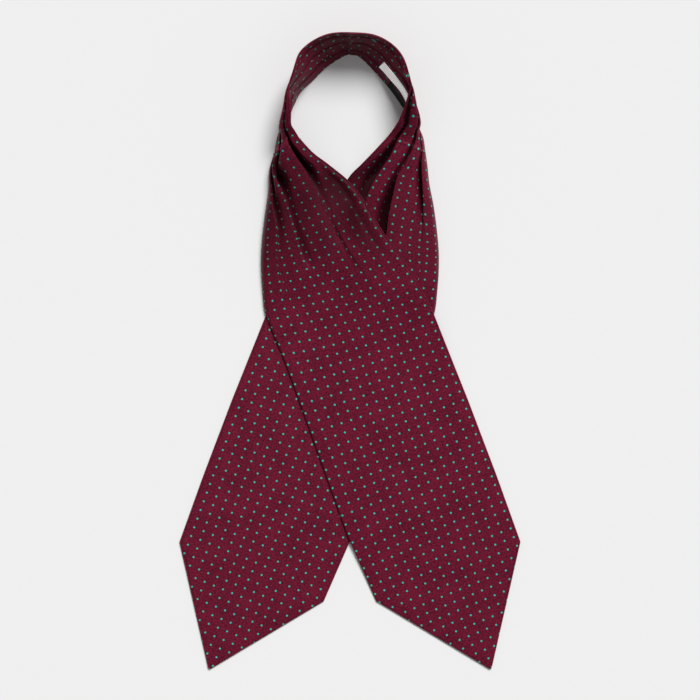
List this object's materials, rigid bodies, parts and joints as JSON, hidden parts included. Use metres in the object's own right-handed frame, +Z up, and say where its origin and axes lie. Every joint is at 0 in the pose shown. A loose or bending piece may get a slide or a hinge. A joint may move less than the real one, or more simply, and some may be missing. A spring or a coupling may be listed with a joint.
{
  "type": "silk day cravat",
  "caption": "Silk day cravat laid out on its back: a pleated neckband standing in a ring, and two wide pointed blades that cross and lie flat.",
  "frame": {"origin": "centre of the bounding box, on the surface the cravat lies on", "axes": "+Z up from the surface, +Y from the blades' points to the back of the neckband, +X towards the point of the over blade"},
  "size_m": [0.329, 0.6099, 0.0414],
  "materials": {
    "silk_twill": "burgundy silk twill with small teal pin dots, soft sheen",
    "label_white": "plain white woven label, left blank",
    "label_black": "plain black woven label, left blank"
  },
  "bodies": {
    "root": {"neckband": "silk_twill", "blade_over": "silk_twill", "blade_under": "silk_twill", "label_white": "label_white", "label_black": "label_black"}
  },
  "joints": []
}
